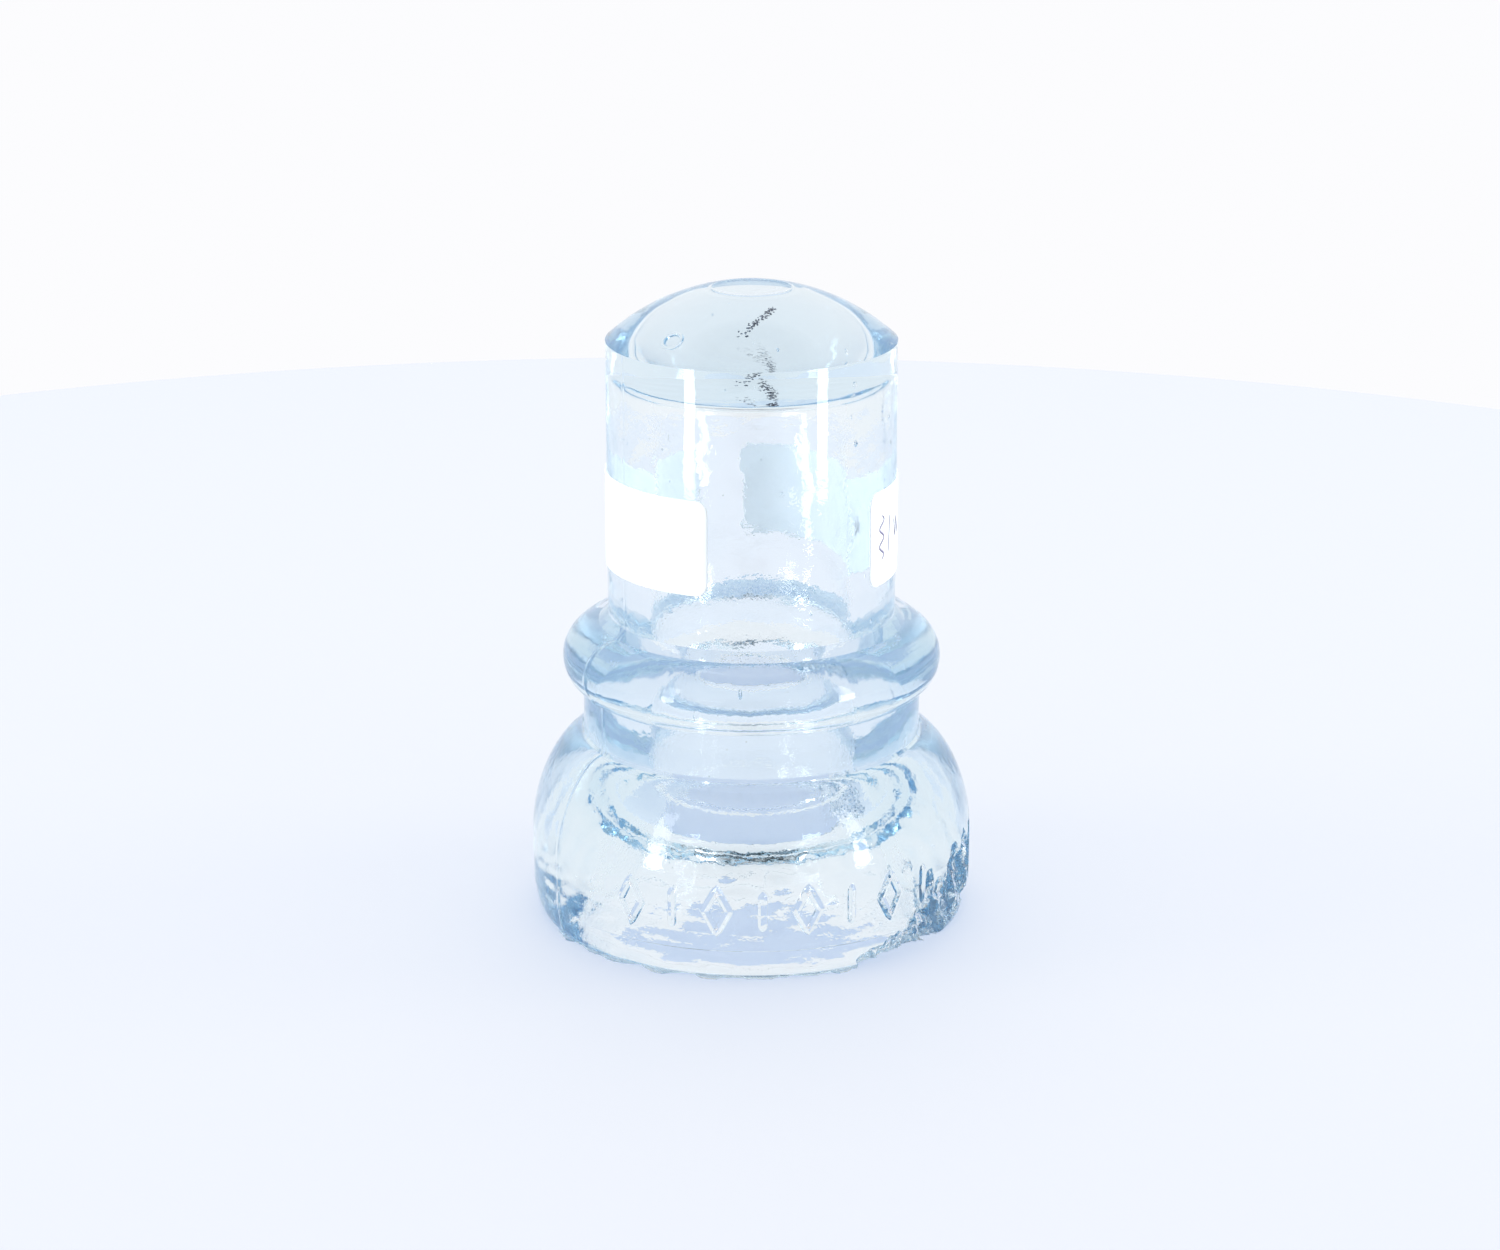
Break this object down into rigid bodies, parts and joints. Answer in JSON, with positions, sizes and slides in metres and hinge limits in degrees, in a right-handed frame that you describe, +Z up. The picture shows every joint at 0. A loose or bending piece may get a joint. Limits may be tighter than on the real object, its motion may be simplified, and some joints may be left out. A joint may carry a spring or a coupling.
{
  "type": "pin insulator",
  "caption": "Glass pin insulator with a domed cylindrical crown, a rounded ring above the tie-wire neck, a flared skirt, a blind pin hole underneath and paper labels stuck on the crown.",
  "frame": {"origin": "centre of the base rim, on the surface that the insulator stands on", "axes": "+Z up along the pin hole's axis towards the dome, -Y towards the front, where the raised marks on the skirt are, +X to the right seen from the front"},
  "size_m": [0.0594, 0.0597, 0.0852],
  "materials": {
    "glass": "clear ice-blue pressed glass, glossy, slightly wavy, with small bubbles and a chipped rim",
    "paper": "matt white paper"
  },
  "bodies": {
    "root": {"glass_body": "glass", "blank_label": "paper", "price_label": "paper"}
  },
  "joints": []
}
